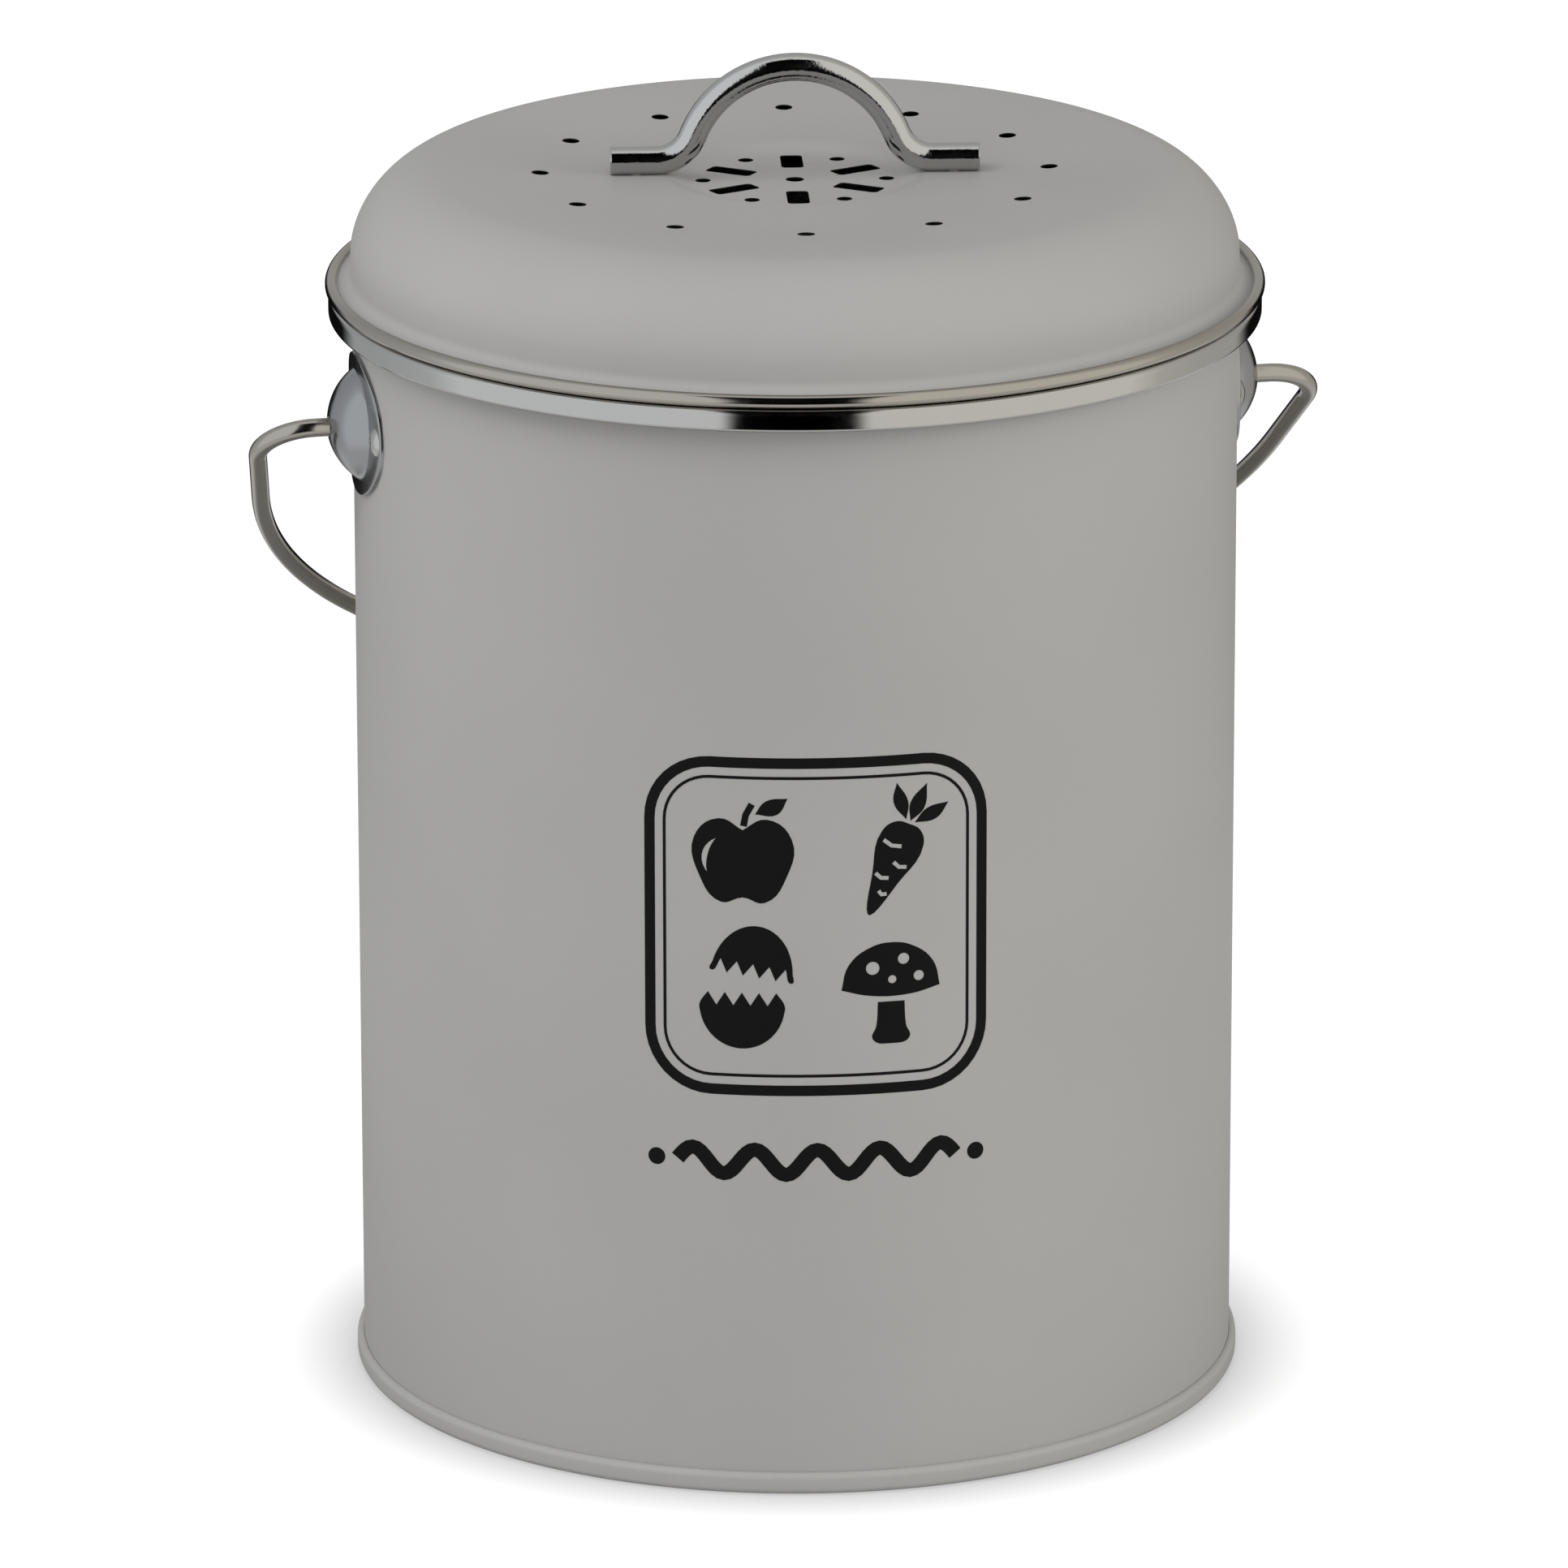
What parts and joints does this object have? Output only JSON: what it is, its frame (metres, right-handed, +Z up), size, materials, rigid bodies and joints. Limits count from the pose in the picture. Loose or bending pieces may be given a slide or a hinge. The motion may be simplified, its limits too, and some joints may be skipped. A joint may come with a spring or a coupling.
{
  "type": "kitchen compost caddy",
  "caption": "Round steel countertop compost caddy with a loose vented domed lid, arched lid handle, swinging wire bail, carbon filter and liner bucket.",
  "frame": {"origin": "centre of the foot, on the surface that the caddy stands on", "axes": "+Z up through the lid; the bail's pivots lie on +X and -X; the front faces -Y and the bail hangs behind, on +Y"},
  "size_m": [0.213, 0.1824, 0.264],
  "materials": {
    "painted_steel": "satin powder coat",
    "bright_steel": "bright polished",
    "liner_plastic": "moulded",
    "filter_plastic": "moulded",
    "carbon_felt": "needled felt"
  },
  "bodies": {
    "can": {"body_shell": "painted_steel", "body_rim": "bright_steel", "base_pan": "painted_steel", "left_ear": "bright_steel", "right_ear": "bright_steel", "left_front_rivet": "bright_steel", "left_rear_rivet": "bright_steel", "right_front_rivet": "bright_steel", "right_rear_rivet": "bright_steel", "inner_bucket": "liner_plastic"},
    "carry_bail": {"bail": "bright_steel"},
    "lid": {"lid_shell": "painted_steel", "lid_rim": "bright_steel", "lid_handle": "bright_steel", "lid_collar": "bright_steel", "left_handle_screw": "bright_steel", "right_handle_screw": "bright_steel", "filter_ring": "filter_plastic"},
    "filter": {"filter_basket": "filter_plastic", "carbon_filter": "carbon_felt"}
  },
  "joints": [
    {"name": "bail_swing", "type": "hinge", "parent": "can", "child": "carry_bail", "pos_m": [0, 0, 0.1946], "axis": [1, 0, 0], "range_deg": [0, 262]},
    {"name": "lid_lift", "type": "slide", "parent": "can", "child": "lid", "axis": [0, 0, 1], "range_m": [0, 0.15]},
    {"name": "filter_pull", "type": "slide", "parent": "lid", "child": "filter", "axis": [0, 0, -1], "range_m": [0, 0.035]}
  ]
}
